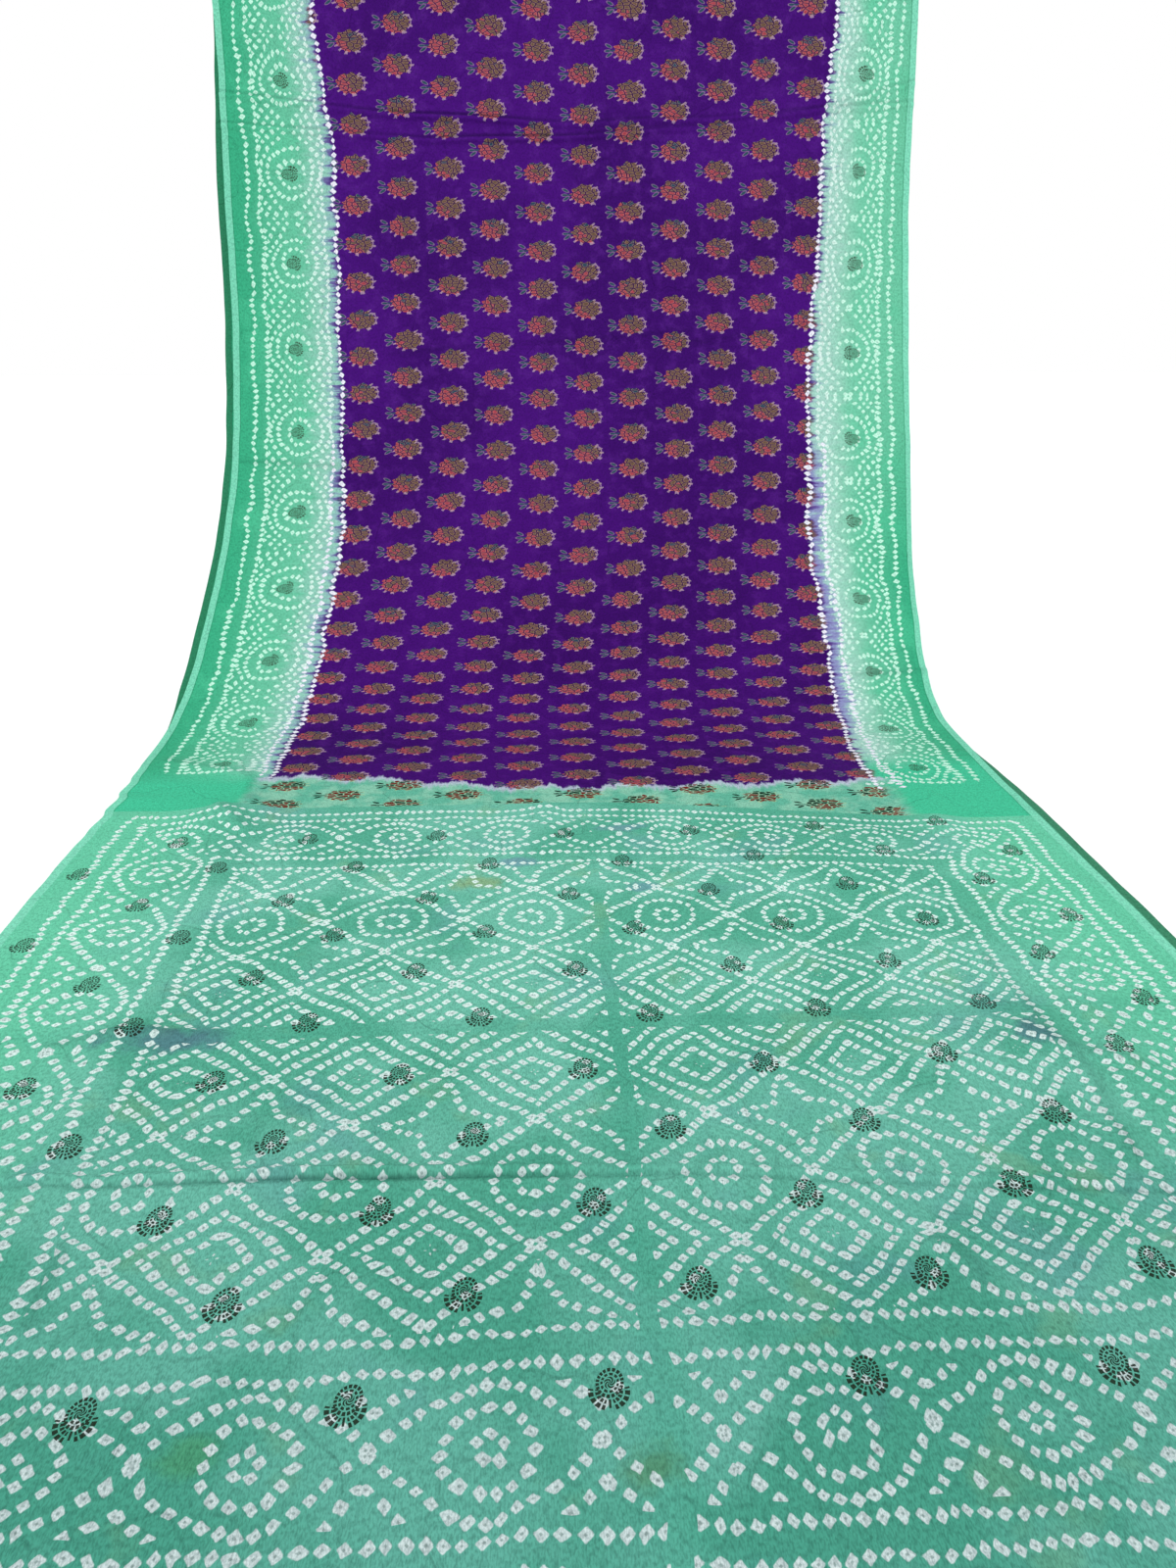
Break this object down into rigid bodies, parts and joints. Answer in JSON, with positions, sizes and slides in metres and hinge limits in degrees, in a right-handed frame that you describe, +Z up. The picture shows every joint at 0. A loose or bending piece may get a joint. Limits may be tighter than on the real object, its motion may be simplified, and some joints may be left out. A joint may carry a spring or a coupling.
{
  "type": "sari",
  "caption": "Tie-dyed and block-printed sari, doubled end to end, hung from its middle fold and trailing out over the floor to its decorated end.",
  "frame": {"origin": "middle of the footprint, on the floor that the decorated end lies on", "axes": "+X across the cloth, +Y from the decorated end towards the hanging fold, +Z up"},
  "size_m": [1.1468, 1.8284, 1.014],
  "materials": {
    "dyed_cloth": "matte crepe weave, tie-dyed and block-printed"
  },
  "bodies": {
    "root": {"sari_cloth": "dyed_cloth"}
  },
  "joints": []
}
